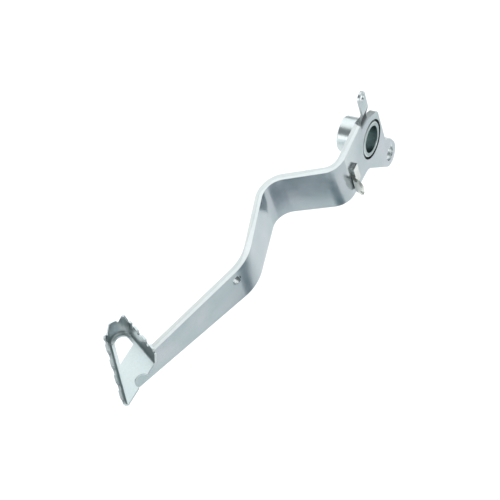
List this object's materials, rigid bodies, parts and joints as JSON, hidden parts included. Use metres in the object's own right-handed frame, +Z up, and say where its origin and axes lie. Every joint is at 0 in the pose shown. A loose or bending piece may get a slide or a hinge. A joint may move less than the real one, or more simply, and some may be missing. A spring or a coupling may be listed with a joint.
{
  "type": "rear brake pedal",
  "caption": "Rear brake pedal of a motorbike: folded arm plate with a round hub, pivot tube, spring tongue, linkage lug and a serrated toe plate.",
  "frame": {"origin": "middle of the pivot bore's mouth, on the outer face of the arm plate", "axes": "+X from the pivot towards the toe plate, +Y along the pivot axis and out of the outer face, +Z up towards the spring tongue"},
  "size_m": [0.2577, 0.0977, 0.095],
  "materials": {
    "zinc_plate": "bright zinc plating, satin",
    "zinc_tube": "bright zinc plating, turned",
    "zinc_toe": "bright zinc plating, pressed sheet",
    "zinc_warm": "zinc plating with a slight yellow tint",
    "weld_bead": "plated weld bead, slightly rough"
  },
  "bodies": {
    "root": {"pedal_arm": "zinc_plate", "pivot_tube": "zinc_tube", "toe_plate": "zinc_toe", "spring_hook": "zinc_warm", "tube_weld": "weld_bead", "toe_welds": "weld_bead", "hook_weld": "weld_bead"}
  },
  "joints": []
}
